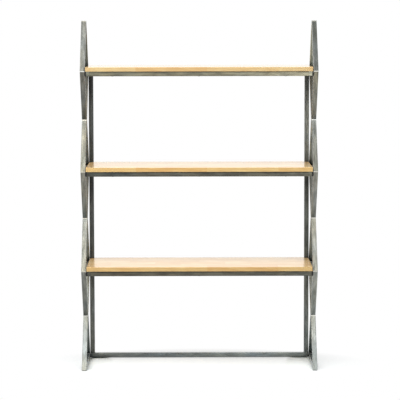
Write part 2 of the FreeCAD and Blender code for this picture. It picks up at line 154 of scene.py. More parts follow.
def nook_share(tree, reach, most):
    """A socket that rises from 0 in the open to the most deep in gaps and corners between pieces."""
    open_share = add_node(tree, "ShaderNodeAmbientOcclusion", {"Distance": reach}, samples=16)
    share = add_node(tree, "ShaderNodeMapRange", {
        "Value": open_share.outputs["AO"], "From Min": 0.68, "From Max": 0.25, "To Max": most})
    return share.outputs["Result"]


def washed(tree, place, colour, washes):
    """A colour multiplied by washes, which change along an axis from stop to stop."""
    axes = add_node(tree, "ShaderNodeSeparateXYZ", {0: place}).outputs
    for axis, stops in washes:
        wash = linear(stops[0][1])
        for (start, _), (end, hex_colour) in zip(stops, stops[1:]):
            share = add_node(tree, "ShaderNodeMapRange", {
                "Value": axes[axis], "From Min": start, "From Max": end})
            step = add_node(tree, "ShaderNodeMix", {
                MIX_SHARE: share.outputs["Result"], MIX_A: wash, MIX_B: linear(hex_colour)}, data_type="RGBA")
            wash = step.outputs[MIX_COLOUR]
        product = add_node(tree, "ShaderNodeMix", {
            MIX_SHARE: 1, MIX_A: colour, MIX_B: wash}, data_type="RGBA", blend_type="MULTIPLY")
        colour = product.outputs[MIX_COLOUR]
    return colour


# Brushed steel

# Each pattern's size across and along the tube, the noise's roughness, and the heights between which it
# comes in. The real scratches are under 0.5 mm wide; the streaks are drawn wider so that they show.
STEEL_PATTERNS = {
    "streaks": ((4 * MM, 4 * MM, 240 * MM), 0.6, (0.35, 0.65)),
    "blotches": ((14 * MM, 14 * MM, 60 * MM), 0.55, (0.35, 0.7)),
    "oxide": ((70 * MM, 70 * MM, 160 * MM), 0.5, (0.35, 0.65)),
}
STRAW_OXIDE = "#FFF9EC"
BLUE_OXIDE = "#F1F5F8"
MILL_SCALE = "#3A3A36"
MILL_SCALE_WIDTH = 3 * MM
# Painted shade in the gaps and corners between pieces
NOOK_SHADE = "#1A1C1A"
MOST_NOOK_SHADE = 0.9
# Steel is a little cooler near the floor
COOL_FOOT = ("Z", ((0.2, "#F8FCFF"), (0.6, "#FFFFFF")))


def steel_patterns(tree, place, turn):
    """Sockets with the height and the share of each pattern; the turn lays the tube's length along Z."""
    along = add_node(tree, "ShaderNodeMapping", {"Vector": place, "Rotation": turn})
    heights, shares = {}, {}
    for name, (size, roughness, (start, full)) in STEEL_PATTERNS.items():
        scaled = add_node(tree, "ShaderNodeVectorMath", {
            0: along.outputs["Vector"], 1: [1 / length for length in size]}, operation="MULTIPLY")
        noise = add_node(tree, "ShaderNodeTexNoise", {
            "Vector": scaled.outputs["Vector"], "Scale": 1, "Detail": 2, "Roughness": roughness})
        share = add_node(tree, "ShaderNodeMapRange", {
            "Value": noise.outputs["Fac"], "From Min": start, "From Max": full})
        heights[name] = noise.outputs["Fac"]
        shares[name] = share.outputs["Result"]
    return heights, shares


def steel_colour(tree, shares, tones):
    """A socket with the steel's colour: light streaks, dark blotches, and a thin oxide over both."""
    light, middle, dark = (linear(tone) for tone in tones)
    brushed = add_node(tree, "ShaderNodeMix", {
        MIX_SHARE: shares["streaks"], MIX_A: middle, MIX_B: light}, data_type="RGBA")
    stained = add_node(tree, "ShaderNodeMix", {
        MIX_SHARE: shares["blotches"], MIX_A: brushed.outputs[MIX_COLOUR], MIX_B: dark}, data_type="RGBA")
    bloom = add_node(tree, "ShaderNodeMix", {
        MIX_SHARE: shares["oxide"], MIX_A: linear(STRAW_OXIDE), MIX_B: linear(BLUE_OXIDE)}, data_type="RGBA")
    oxidised = add_node(tree, "ShaderNodeMix", {
        MIX_SHARE: 1, MIX_A: stained.outputs[MIX_COLOUR], MIX_B: bloom.outputs[MIX_COLOUR]},
        data_type="RGBA", blend_type="MULTIPLY")
    return oxidised.outputs[MIX_COLOUR]


def brushed_steel(name, turn, tones, corner_scale=0.7, washes=(COOL_FOOT,), nook_reach=60 * MM):
    """Cold-rolled steel, brushed along the tube and lacquered clear.

    It shows long soft streaks, grey blotches, straw and blue oxide, and darker scale left at the corners,
    with painted shade in the gaps and corners between pieces.
    Tones run from light to dark, and each wash is an axis and its stops, a place and a colour each.
    """
    material, tree, place = new_material(name)
    heights, shares = steel_patterns(tree, place, turn)
    tinted = washed(tree, place, steel_colour(tree, shares, tones), washes)
    scaled = add_node(tree, "ShaderNodeMix", {
        MIX_SHARE: corner_share(tree, MILL_SCALE_WIDTH, corner_scale), MIX_A: tinted,
        MIX_B: linear(MILL_SCALE)}, data_type="RGBA")
    # Painted shade in the gaps and corners between pieces
    nook_shaded = add_node(tree, "ShaderNodeMix", {
        MIX_SHARE: nook_share(tree, nook_reach, MOST_NOOK_SHADE), MIX_A: scaled.outputs[MIX_COLOUR],
        MIX_B: linear(NOOK_SHADE)}, data_type="RGBA")
    gloss = add_node(tree, "ShaderNodeMapRange", {
        "Value": heights["streaks"], "From Min": 0.3, "From Max": 0.7, "To Min": 0.36, "To Max": 0.5})
    relief = add_node(tree, "ShaderNodeBump", {
        "Strength": 0.15, "Distance": 0.1 * MM, "Height": heights["streaks"]})
    close_material(tree, {
        "Base Color": nook_shaded.outputs[MIX_COLOUR], "Metallic": 0.85, "Roughness": gloss.outputs["Result"],
        "Normal": relief.outputs["Normal"], "Coat Weight": 0.7, "Coat Roughness": 0.12})
    return material


# Lacquered oak

STAVE_WIDTH = 63 * MM
STAVE_LENGTH = 330 * MM
# The share of a stave by which each row is shifted along the one beside it
ROW_SHIFT = 0.37
# Each stave comes from another place along its log, in metres, and another distance from its pith
LOG_WANDER = 8
PITH_WANDER = 60 * MM
PITH_DEPTH = 55 * MM
# Real rings are 2 to 3 mm wide and pores about 0.3 mm; both are drawn coarser so that they show
RING_WIDTH = 8 * MM
RING_STRETCH = 20
PORE_SIZE = (100 * MM, 2.2 * MM, 2.2 * MM)
CLOUD_SIZE = 90 * MM
# The wave texture turns this many radians for each unit of its scale and of length
WAVE_FACTOR = 20
PALE_WOOD = "#ECD094"
PALE_STAVE = "#F4DDA6"
TAN_STAVE = "#DFAC68"
STAVE_TONE_SHARE = 0.55
# Where each part of the grain starts, is at its most, that most, and its colour
LATE_RINGS = (0.1, 0.95, 0.75, "#CFA45E")
TAN_CLOUDS = (0.35, 0.7, 0.55, "#D8A662")
OPEN_PORES = (0.56, 0.72, 0.3, "#A97842")
# Painted shade in the gaps and corners beside the boards
OAK_NOOK_SHADE = "#5A4424"
OAK_NOOK_SHADE_REACH = 40 * MM
MOST_OAK_NOOK_SHADE = 0.7


def stave_chance(tree, place, board_number, log):
    """Sockets with the number of the stave's row, and with random values for each stave."""
    axes = add_node(tree, "ShaderNodeSeparateXYZ", {0: place}).outputs
    across = add_node(tree, "ShaderNodeMath", {0: axes["Y"], 1: STAVE_WIDTH}, operation="DIVIDE")
    row = add_node(tree, "ShaderNodeMath", {0: across.outputs[0]}, operation="FLOOR").outputs[0]
    shift = add_node(tree, "ShaderNodeMath", {
        0: row, 1: ROW_SHIFT, 2: board_number}, operation="MULTIPLY_ADD")
    along = add_node(tree, "ShaderNodeMath", {
        0: axes["X"], 1: 1 / STAVE_LENGTH, 2: shift.outputs[0]}, operation="MULTIPLY_ADD")
    stave = add_node(tree, "ShaderNodeMath", {0: along.outputs[0]}, operation="FLOOR")
    which = add_node(tree, "ShaderNodeCombineXYZ", {"X": row, "Y": log, "Z": stave.outputs[0]})
    chance = add_node(tree, "ShaderNodeTexWhiteNoise", {"Vector": which.outputs["Vector"]})
    return row, chance.outputs


def oak_grain(tree, place, row, chance, board_number):
    """Sockets with the rings, clouds and pores, each stave cut from its own place in a log."""
    wander = add_node(tree, "ShaderNodeVectorMath", {
        0: chance["Color"], 1: (LOG_WANDER, PITH_WANDER, PITH_WANDER)}, operation="MULTIPLY")
    log_place = add_node(tree, "ShaderNodeVectorMath", {
        0: place, 1: wander.outputs["Vector"]}, operation="ADD")
    row_y = add_node(tree, "ShaderNodeMath", {0: row, 1: STAVE_WIDTH}, operation="MULTIPLY")
    pith = add_node(tree, "ShaderNodeCombineXYZ", {
        "Y": row_y.outputs[0], "Z": board_number * SHELF_PITCH - PITH_DEPTH})
    from_pith = add_node(tree, "ShaderNodeVectorMath", {
        0: log_place.outputs["Vector"], 1: pith.outputs["Vector"]}, operation="SUBTRACT")
    drawn_out = add_node(tree, "ShaderNodeVectorMath", {
        0: from_pith.outputs["Vector"], 1: (1 / RING_STRETCH, 1, 1)}, operation="MULTIPLY")
    rings = add_node(tree, "ShaderNodeTexWave", {
        "Vector": drawn_out.outputs["Vector"], "Scale": 2 * math.pi / (WAVE_FACTOR * RING_WIDTH),
        "Distortion": 3.5, "Detail": 2, "Detail Scale": 0.35, "Detail Roughness": 0.5},
        wave_type="RINGS", rings_direction="SPHERICAL", wave_profile="SAW")
    clouds = add_node(tree, "ShaderNodeTexNoise", {
        "Vector": log_place.outputs["Vector"], "Scale": 1 / CLOUD_SIZE, "Detail": 2, "Roughness": 0.5})
    pore_place = add_node(tree, "ShaderNodeVectorMath", {
        0: log_place.outputs["Vector"], 1: [1 / length for length in PORE_SIZE]}, operation="MULTIPLY")
    pores = add_node(tree, "ShaderNodeTexNoise", {
        "Vector": pore_place.outputs["Vector"], "Scale": 1, "Detail": 2, "Roughness": 0.6})
    return rings.outputs["Fac"], clouds.outputs["Fac"], pores.outputs["Fac"]


def oak_colour(tree, chance, rings, clouds, pores):
    """A socket with the wood's colour: rings, the stave's own tone, clouds and pores over each other."""
    stave_tone = add_node(tree, "ShaderNodeMix", {
        MIX_SHARE: chance["Value"], MIX_A: linear(PALE_STAVE), MIX_B: linear(TAN_STAVE)}, data_type="RGBA")
    layers = []
    for height, (start, full, most, tone) in ((rings, LATE_RINGS), (clouds, TAN_CLOUDS), (pores, OPEN_PORES)):
        share = add_node(tree, "ShaderNodeMapRange", {
            "Value": height, "From Min": start, "From Max": full, "To Max": most})
        layers.append((share.outputs["Result"], linear(tone)))
    layers.insert(1, (STAVE_TONE_SHARE, stave_tone.outputs[MIX_COLOUR]))
    colour = linear(PALE_WOOD)
    for share, tone in layers:
        layer = add_node(tree, "ShaderNodeMix", {
            MIX_SHARE: share, MIX_A: colour, MIX_B: tone}, data_type="RGBA")
        colour = layer.outputs[MIX_COLOUR]
    return colour


def lacquered_oak(name, board_number, log, side_shade, lacquer_roughness):
    """Oak staves glued edge to edge, sanded and lacquered: growth rings, open pores, each stave its own tone.

    The side faces are darker by a painted shade colour, which partly stands for the extra lacquer that edges
    soak up; gaps and corners carry painted shade too.
    """
    material, tree, place = new_material(name)
    row, chance = stave_chance(tree, place, board_number, log)
    rings, clouds, pores = oak_grain(tree, place, row, chance, board_number)
    wood = oak_colour(tree, chance, rings, clouds, pores)
    facing = add_node(tree, "ShaderNodeNewGeometry").outputs["True Normal"]
    upward = add_node(tree, "ShaderNodeVectorMath", {0: facing, 1: UP}, operation="DOT_PRODUCT")
    level = add_node(tree, "ShaderNodeMath", {0: upward.outputs["Value"]}, operation="ABSOLUTE")
    flat = add_node(tree, "ShaderNodeMapRange", {"Value": level.outputs[0], "From Min": 0.3, "From Max": 0.9})
    # Painted shade on the side faces, which also stands for the lacquer they soak up
    edge = add_node(tree, "ShaderNodeMix", {
        MIX_SHARE: flat.outputs["Result"], MIX_A: linear(side_shade), MIX_B: linear("#FFFFFF")}, data_type="RGBA")
    side_shaded = add_node(tree, "ShaderNodeMix", {
        MIX_SHARE: 1, MIX_A: wood, MIX_B: edge.outputs[MIX_COLOUR]}, data_type="RGBA", blend_type="MULTIPLY")
    # Painted shade in gaps and corners
    nook_shaded = add_node(tree, "ShaderNodeMix", {
        MIX_SHARE: nook_share(tree, OAK_NOOK_SHADE_REACH, MOST_OAK_NOOK_SHADE), MIX_A: side_shaded.outputs[MIX_COLOUR],
        MIX_B: linear(OAK_NOOK_SHADE)}, data_type="RGBA")
    gloss = add_node(tree, "ShaderNodeMapRange", {"Value": pores, "To Min": 0.3, "To Max": 0.5})
    relief = add_node(tree, "ShaderNodeBump", {
        "Strength": 0.05, "Distance": 0.1 * MM, "Height": pores}, invert=True)
    close_material(tree, {
        "Base Color": nook_shaded.outputs[MIX_COLOUR], "Roughness": gloss.outputs["Result"],
        "Normal": relief.outputs["Normal"], "Specular IOR Level": 0.3,
        "Coat Weight": 0.9, "Coat Roughness": lacquer_roughness})
    return material


# Weld metal, zinc and plastic

def welded_steel():
    """Weld metal left as it cooled: a paler, rippled bead with straw and blue heat tints."""
    tint_size, soot_size = 4 * MM, 1.5 * MM
    material, tree, place = new_material("weld_metal")
    tints = add_node(tree, "ShaderNodeTexNoise", {"Vector": place, "Scale": 1 / tint_size, "Detail": 2})
    soot = add_node(tree, "ShaderNodeTexNoise", {"Vector": place, "Scale": 1 / soot_size, "Detail": 3})
    tinted = add_node(tree, "ShaderNodeMix", {
        MIX_SHARE: tints.outputs["Fac"], MIX_A: linear("#8F8A7B"), MIX_B: linear("#9FA3A6")},
        data_type="RGBA")
    gloss = add_node(tree, "ShaderNodeMapRange", {
        "Value": soot.outputs["Fac"], "To Min": 0.28, "To Max": 0.6})
    relief = add_node(tree, "ShaderNodeBump", {
        "Strength": 0.3, "Distance": 0.1 * MM, "Height": soot.outputs["Fac"]})
    close_material(tree, {
        "Base Color": tinted.outputs[MIX_COLOUR], "Metallic": 0.9,
        "Roughness": gloss.outputs["Result"], "Normal": relief.outputs["Normal"]})
    return material


def zinc_plate():
    """Bright zinc plating on a rolled fastener: cool grey, cloudy where the bath ran off.

    The grit of the plating is really under 0.1 mm and is drawn coarser so that it shows.
    """
    cloud_size, grit_size = 5 * MM, 0.6 * MM
    material, tree, place = new_material("zinc_plate")
    clouds = add_node(tree, "ShaderNodeTexNoise", {"Vector": place, "Scale": 1 / cloud_size, "Detail": 2})
    grit = add_node(tree, "ShaderNodeTexNoise", {"Vector": place, "Scale": 1 / grit_size, "Detail": 1})
    plated = add_node(tree, "ShaderNodeMix", {
        MIX_SHARE: clouds.outputs["Fac"], MIX_A: linear("#A9ADB0"), MIX_B: linear("#C9C7BE")},
        data_type="RGBA")
    gloss = add_node(tree, "ShaderNodeMapRange", {
        "Value": clouds.outputs["Fac"], "To Min": 0.22, "To Max": 0.42})
    relief = add_node(tree, "ShaderNodeBump", {
        "Strength": 0.1, "Distance": 0.05 * MM, "Height": grit.outputs["Fac"]})
    close_material(tree, {
        "Base Color": plated.outputs[MIX_COLOUR], "Metallic": 1.0,
        "Roughness": gloss.outputs["Result"], "Normal": relief.outputs["Normal"]})
    return material


def moulded_plastic(name, light, dark):
    """Polyethylene moulded in a spark-eroded tool: matt, with a fine even pebble.

    The pebbles are really about 0.1 mm wide and are drawn coarser so that they show.
    """
    pebble_size, scuff_size = 0.7 * MM, 6 * MM
    material, tree, place = new_material(name)
    pebbles = add_node(tree, "ShaderNodeTexNoise", {"Vector": place, "Scale": 1 / pebble_size, "Detail": 1})
    scuffs = add_node(tree, "ShaderNodeTexNoise", {"Vector": place, "Scale": 1 / scuff_size, "Detail": 3})
    scuffed = add_node(tree, "ShaderNodeMix", {
        MIX_SHARE: scuffs.outputs["Fac"], MIX_A: linear(dark), MIX_B: linear(light)}, data_type="RGBA")
    gloss = add_node(tree, "ShaderNodeMapRange", {
        "Value": scuffs.outputs["Fac"], "To Min": 0.45, "To Max": 0.65})
    relief = add_node(tree, "ShaderNodeBump", {
        "Strength": 0.3, "Distance": 0.05 * MM, "Height": pebbles.outputs["Fac"]})
    close_material(tree, {
        "Base Color": scuffed.outputs[MIX_COLOUR], "Roughness": gloss.outputs["Result"],
        "Normal": relief.outputs["Normal"]})
    return material


# The finish of each piece

ALONG_X = (0, -RIGHT_ANGLE, 0)
ALONG_Y = (RIGHT_ANGLE, 0, 0)
ALONG_Z = (0, 0, 0)
LEANING_BACK = (STRUT_LEAN, 0, 0)
LEANING_FORWARD = (-STRUT_LEAN, 0, 0)

# Tones of the steel, from light to dark
RAW_STEEL = ("#A7A7A0", "#8B8C86", "#6C6D67")
RAIL_STEEL = ("#999888", "#818073", "#656459")
# Darker tones for the odd back struts, whose faces look down to the floor: painted shade
SHADED_REAR_STEEL = ("#7F8581", "#6A706D", "#515755")
DULL_STEEL = ("#706F63", "#5D5C53", "#46453D")
SLATE_STEEL = ("#8E9494", "#797F7F", "#606565")
# Painted shade: the posts are darker than the frames
SHADED_POST_STEEL = ("#747470", "#61615D", "#484744")
GROUND_STEEL = ("#F4F3EE", "#E8E6DF", "#CCC9C0")

# How light each strut is beside the others: partly the tone of its own length of bar, partly painted light
# and shade
STRUT_TONE_AND_LIGHT = {
    "left_front": (0.95, 0.84, 1.06, 1.01, 1.15, 0.8, 1.01),
    "right_front": (1.02, 1.06, 1.06, 1, 0.97, 0.98, 0.77),
    "left_back": (0.98, 1.19, 1.18, 0.91, 0.92, 1, 0.9),
    "right_back": (1.08, 1.12, 1.17, 1.08, 1.28, 1, 1.62),
}
# The feet of the lowest struts are greyer and cooler towards the floor, the right one more so
FOOT_WASHES = {
    "left": ("Z", ((70 * MM, "#EAF0F4"), (130 * MM, "#F2F9FF"))),
    "right": ("Z", ((70 * MM, "#BAC4CA"), (130 * MM, "#F6FBFF"))),
}
# Some struts change in tone from foot to head
END_COLOURS = {
    "left_front_strut_3": ("#EFECE4", "#FFFFFF"),
    "left_front_strut_4": ("#C8D0D4", "#FFFFFF"),
    "left_front_strut_5": ("#DED8C8", "#FFFFFF"),
    "left_front_strut_6": ("#DEE6F0", "#FFFFFF"),
    "left_front_strut_7": ("#FFFFFF", "#EEF1F4"),
    "right_front_strut_2": ("#ECF4FF", "#F2F8FF"),
    "right_front_strut_3": ("#EEEAE4", "#FFFFFF"),
    "right_front_strut_4": ("#ECF2FA", "#FFFFFF"),
    "right_front_strut_5": ("#DCDCD4", "#FFFFFF"),
    "right_front_strut_6": ("#EAF2FF", "#FFFCEC"),
    "right_front_strut_7": ("#FFFFFF", "#DCE6EA"),
}
# The plates grow darker towards the peaks, and the thin tie bars are darker by painted shade
PEAK_WASH = ("Z", ((1.4, "#FFFFFF"), (1.6, "#A8A8A4")))
TIE_BAR_PAINTED_SHADE = 0.84
# The posts carry painted shade under each shelf and a little above the one below, and each bay has its own
# tint, which stands for light and shade
POST_SHADES = {"left": 1.1, "right": 1.38}
POST_COLOURS = {"left": ("#F4FAFA", "#B6BEC6", "#A6AEB5"), "right": ("#DCE6EC", "#B8C2C5", "#EFF4F3")}
POST_FOOT_SHADE = (1, 0.93, 0.9)
POST_HEAD_SHADE = (0.84, 0.67, 0.72)
POST_SHADE_NEAR = 60 * MM
POST_SHADE_FAR = 190 * MM
# The steel of each shelf; a painted sheen makes its rails grow lighter to the right
SHELF_TONES = {
    "lower": shaded(DULL_STEEL, 0.97),
    "middle": DULL_STEEL,
    "upper": shaded(RAIL_STEEL, 1.09),
}
RAIL_PAINTED_SHEEN = {
    "lower": ("X", ((-0.35, "#E1DCD3"), (-0.1, "#ECEAE6"), (0.45, "#F4FAFF"))),
    "middle": ("X", ((-0.4, "#B5C4D6"), (-0.15, "#DFDFDF"), (0.3, "#DADAD6"), (0.45, "#FFFFFF"))),
    "upper": ("X", ((-0.4, "#B4B4B0"), (0.05, "#D0D0CC"), (0.45, "#FFFFFF"))),
}
RAIL_NOOK_REACH = 12 * MM
BOTTOM_RAIL_SHADE = 1.1
# Painted sheen: the bottom rail grows lighter to the right
BOTTOM_RAIL_PAINTED_SHEEN = ("X", ((-0.4, "#C8C8C8"), (-0.05, "#E1E1E0"), (0.2, "#FFFFFF")))
# Painted shadow along the top of the rails, under the edge of the boards
RAIL_SHADOW_LINE = 6 * MM
RAIL_SHADOW_COLOURS = ("#FFFBF3", "#6E6A5E")
# Painted shade on the caps at their ends beside the struts, where the gap is in shadow; the caps are lighter
# on the upper shelf
CAP_SHADE_EDGE = 5 * MM
CAP_SHADE_FADE = 8 * MM
GAP_SHADE_COLOUR = "#1E1E1C"
CAP_WASH = ("Z", ((1.0, "#ABABAA"), (1.2, "#FFFFFF")))
# Each board's log, colour of the painted shade on its side faces, and roughness of its lacquer
BOARD_FINISHES = {"lower": (5, "#CBC7B8", 0.2), "middle": (5, "#CBC7B8", 0.16), "upper": (7, "#C0BFBB", 0.07)}


def strut_wash(name, side, number):
    """The wash of a strut, from its foot to its head."""
    if name in END_COLOURS:
        low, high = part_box(name)
        return ("Z", tuple(zip((low[2], high[2]), END_COLOURS[name])))
    return FOOT_WASHES[side] if number == 1 else COOL_FOOT


def paint_struts():
    """Each strut has its own steel, lighter or darker by its share; the odd back struts carry painted shade,
    and every second back strut is as light as the front ones.
    """
    for zigzag, shares in STRUT_TONE_AND_LIGHT.items():
        side, face = zigzag.split("_")
        for number, share in enumerate(shares, start=1):
            name = f"{zigzag}_strut_{number}"
            tones = RAW_STEEL if face == "front" or number % 2 == 0 else SHADED_REAR_STEEL
            turn = LEANING_BACK if leans_back(face, number) else LEANING_FORWARD
            steel = brushed_steel(f"brushed_steel_{zigzag}_{number}", turn, shaded(tones, share),
                                  corner_scale=0, washes=(strut_wash(name, side, number),))
            paint([name], steel)


def paint_side_frames():
    """Plates and tie bars are ground bright, the tie bars darkened by painted shade, and the base bars are
    slate grey.
    """
    plates = brushed_steel("ground_steel_plates", ALONG_X, GROUND_STEEL, corner_scale=0, washes=(PEAK_WASH,))
    tie_tones = shaded(GROUND_STEEL, TIE_BAR_PAINTED_SHADE)
    paint(["joint_plates"], plates)
    paint(["tie_bars"], brushed_steel("ground_steel_tie_bars", ALONG_X, tie_tones, corner_scale=0))
    base_steel = brushed_steel("slate_steel_base_bars", ALONG_Y, SLATE_STEEL)
    paint([f"{side}_base_bar" for side in SIDES], base_steel)


def post_wash(side):
    """The wash of a post, from its foot past the three shelves, with painted shade under each shelf and just
    above each board.
    """
    stops = []
    base = 0
    for shelf, colour, foot, head in zip(SHELVES, POST_COLOURS[side], POST_FOOT_SHADE, POST_HEAD_SHADE):
        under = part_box(f"{shelf}_back_rail")[0][2]
        # Painted shade just above each board and under each shelf
        stops += [(base + POST_SHADE_NEAR, shaded([colour], foot)[0]), (base + POST_SHADE_FAR, colour),
                  (under - POST_SHADE_FAR, colour), (under - POST_SHADE_NEAR, shaded([colour], head)[0])]
        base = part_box(f"{shelf}_board")[1][2]
    return ("Z", stops)


def paint_posts():
    """The posts are darker than the frames by painted shade, and the bottom rail between them is slate grey.
    """
    for side, share in POST_SHADES.items():
        tones = shaded(SHADED_POST_STEEL, share)
        steel = brushed_steel(f"shaded_steel_{side}_post", ALONG_Z, tones, washes=(post_wash(side),))
        paint([f"{side}_back_post"], steel)
    rail_steel = brushed_steel("slate_steel_bottom_rail", ALONG_X, shaded(SLATE_STEEL, BOTTOM_RAIL_SHADE),
                               washes=(COOL_FOOT, BOTTOM_RAIL_PAINTED_SHEEN))
    paint(["bottom_rail"], rail_steel)


def paint_shelves():
    """Each shelf has its own steel and oak; the side rails are raw."""
    for number, shelf in enumerate(SHELVES, start=1):
        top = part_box(f"{shelf}_front_rail")[1][2]
        # Painted shadow along the top of each rail, under the board
        rail_shadow_wash = ("Z", ((top - RAIL_SHADOW_LINE, RAIL_SHADOW_COLOURS[0]), (top - RAIL_SHADOW_LINE / 2, RAIL_SHADOW_COLOURS[1])))
        steel = brushed_steel(f"dull_steel_{shelf}_rails", ALONG_X, SHELF_TONES[shelf],
                              washes=(rail_shadow_wash, RAIL_PAINTED_SHEEN[shelf]), nook_reach=RAIL_NOOK_REACH)
        paint([f"{shelf}_{face}_rail" for face in FACES], steel)
        log, side_shade, lacquer_roughness = BOARD_FINISHES[shelf]
        oak = lacquered_oak(f"lacquered_oak_{shelf}", number, log, side_shade, lacquer_roughness)
        paint([f"{shelf}_board"], oak)
    side_steel = brushed_steel("brushed_steel_side_bars", ALONG_Y, RAW_STEEL)
    paint([f"{shelf}_{side}_rail" for shelf in SHELVES for side in SIDES], side_steel)


def paint_small_pieces():
    """Caps, fasteners, plugs, washers and glides."""
    cap_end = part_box("end_caps")[1][0]
    # Painted shade at both ends of each cap, beside the struts
    cap_gap_shade = ("X", (
        (-cap_end + CAP_SHADE_EDGE, GAP_SHADE_COLOUR), (-cap_end + CAP_SHADE_FADE, "#FFFFFF"),
        (cap_end - CAP_SHADE_FADE, "#FFFFFF"), (cap_end - CAP_SHADE_EDGE, GAP_SHADE_COLOUR)))
    cap_steel = brushed_steel("dull_steel_caps", ALONG_X, SHELF_TONES["upper"],
                              washes=(cap_gap_shade, CAP_WASH, RAIL_PAINTED_SHEEN["upper"]))
    paint(["end_caps"], cap_steel)
    paint(["frame_bolts", "threaded_bushes", "shelf_screws"], zinc_plate())
    paint(["hole_plugs"], moulded_plastic("grey_polyethylene", "#7D7B73", "#6A6860"))
    paint(["frame_spacers", "glides"], moulded_plastic("black_polyethylene", "#2B2B2C", "#1B1B1C"))


paint_struts()
paint_side_frames()
paint_posts()
paint_shelves()
paint_small_pieces()


# Weld beads in the inner corners of the steelwork

BEAD_INPUTS = {
    "Bead width": ("NodeSocketFloat", 3 * MM),
    "Ripple pitch": ("NodeSocketFloat", 1.1 * MM),
    "Seed": ("NodeSocketInt", 7),
}
BEAD_END_GAP = 1.5 * MM
DROP_SHAPE = (1, 1, 0.62)
NARROWEST_DROP = 0.85
WIDEST_DROP = 1.1


def strut_seams(side, face, number):
    """Places in Y and Z where a strut's inner face meets a plate or base bar.

    Every strut has one at the zigzag's corner, and the front struts have one where the zigzags meet.
    """
    name = f"{side}_{face}_strut_{number}"
    low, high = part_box(name)
    run = strut_run(name)
    corner_y = high[1] - run if face == "front" else low[1] + run
    foot_is_corner = number % 2 == 1
    corner_z, meeting_z = (low[2], high[2]) if foot_is_corner else (high[2], low[2])
    if number == 1:
        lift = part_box(f"{side}_base_bar")[1][2] - low[2]
        shift = run * lift / (high[2] - low[2])
        corner_y += shift if face == "front" else -shift
        corner_z += lift
    seams = [(corner_y, corner_z)]
    if face == "front":
        seams.append((high[1], meeting_z))
    return seams


def strut_beads():
    """Lines across the width of the struts, where their inner faces meet the plates."""
    lines = []
    for side in SIDES:
        for face in FACES:
            for number in range(1, STRUTS_PER_ZIGZAG + 1):
                low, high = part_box(f"{side}_{face}_strut_{number}")
                for y, z in strut_seams(side, face, number):
                    start = Vector((low[0] + BEAD_END_GAP, y, z))
                    end = Vector((high[0] - BEAD_END_GAP, y, z))
                    lines.append((start, end))
    return lines


def rack_beads():
    """Lines in the inner corners of the shelf frames, under the side rails and at the foot of the posts."""
    lines = []
    for side in SIDES:
        inward = -1 if side == "right" else 1
        post_low, post_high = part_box(f"{side}_back_post")
        inner_x = post_low[0] if side == "right" else post_high[0]
        outer_x = post_high[0] if side == "right" else post_low[0]
        lines.append((Vector((inner_x, post_low[1] + BEAD_END_GAP, post_low[2])),
                      Vector((inner_x, post_high[1] - BEAD_END_GAP, post_low[2]))))
        for shelf in SHELVES:
            for face in FACES:
                rail_low, rail_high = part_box(f"{shelf}_{face}_rail")
                corner_y = rail_high[1] if face == "front" else rail_low[1]
                lines.append((Vector((inner_x, corner_y, rail_low[2] + BEAD_END_GAP)),
                              Vector((inner_x, corner_y, rail_high[2] - BEAD_END_GAP))))
            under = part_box(f"{shelf}_{side}_rail")[0][2]
            lines.append((Vector((inner_x - inward * BEAD_END_GAP, post_low[1], under)),
                          Vector((outer_x + inward * BEAD_END_GAP, post_low[1], under))))
    return lines


def bead_tree():
    """Rows of flattened drops along each line, overlapping like the ripples of a weld."""
    tree = bpy.data.node_groups.new("weld_bead", "GeometryNodeTree")
    tree.interface.new_socket(name="Seams", in_out="INPUT", socket_type="NodeSocketGeometry")
    sockets = {}
    for name, (kind, start) in BEAD_INPUTS.items():
        socket = tree.interface.new_socket(name=name, in_out="INPUT", socket_type=kind)
        socket.default_value = start
        sockets[name] = socket.identifier
    tree.interface.new_socket(name="Beads", in_out="OUTPUT", socket_type="NodeSocketGeometry")
    given = add_node(tree, "NodeGroupInput").outputs
    seams = add_node(tree, "GeometryNodeMeshToCurve", {"Mesh": given["Seams"]})
    steps = add_node(tree, "GeometryNodeResampleCurve", {
        "Curve": seams.outputs["Curve"], "Length": given["Ripple pitch"]}, mode="LENGTH")
    drop = add_node(tree, "GeometryNodeMeshIcoSphere", {"Radius": 0.5, "Subdivisions": 2})
    flat_drop = add_node(tree, "GeometryNodeTransform", {
        "Geometry": drop.outputs["Mesh"], "Scale": DROP_SHAPE})
    tangent = add_node(tree, "GeometryNodeInputTangent")
    turn = add_node(tree, "FunctionNodeAlignRotationToVector", {
        "Vector": tangent.outputs["Tangent"]}, axis="Z")
    spread = add_node(tree, "FunctionNodeRandomValue", {
        RANDOM_LOW: NARROWEST_DROP, RANDOM_HIGH: WIDEST_DROP, "Seed": given["Seed"]}, data_type="FLOAT")
    width = add_node(tree, "ShaderNodeMath", {
        0: given["Bead width"], 1: spread.outputs[RANDOM_NUMBER]}, operation="MULTIPLY")
    drops = add_node(tree, "GeometryNodeInstanceOnPoints", {
        "Points": steps.outputs["Curve"], "Instance": flat_drop.outputs["Geometry"],
        "Rotation": turn.outputs["Rotation"], "Scale": width.outputs[0]})
    solid = add_node(tree, "GeometryNodeRealizeInstances", {"Geometry": drops.outputs["Instances"]})
    smooth = add_node(tree, "GeometryNodeSetShadeSmooth", {"Geometry": solid.outputs["Geometry"]})
    coated = add_node(tree, "GeometryNodeSetMaterial", {
        "Geometry": smooth.outputs["Geometry"], "Material": welded_steel()})
    add_node(tree, "NodeGroupOutput", {0: coated.outputs["Geometry"]})
    return tree, sockets


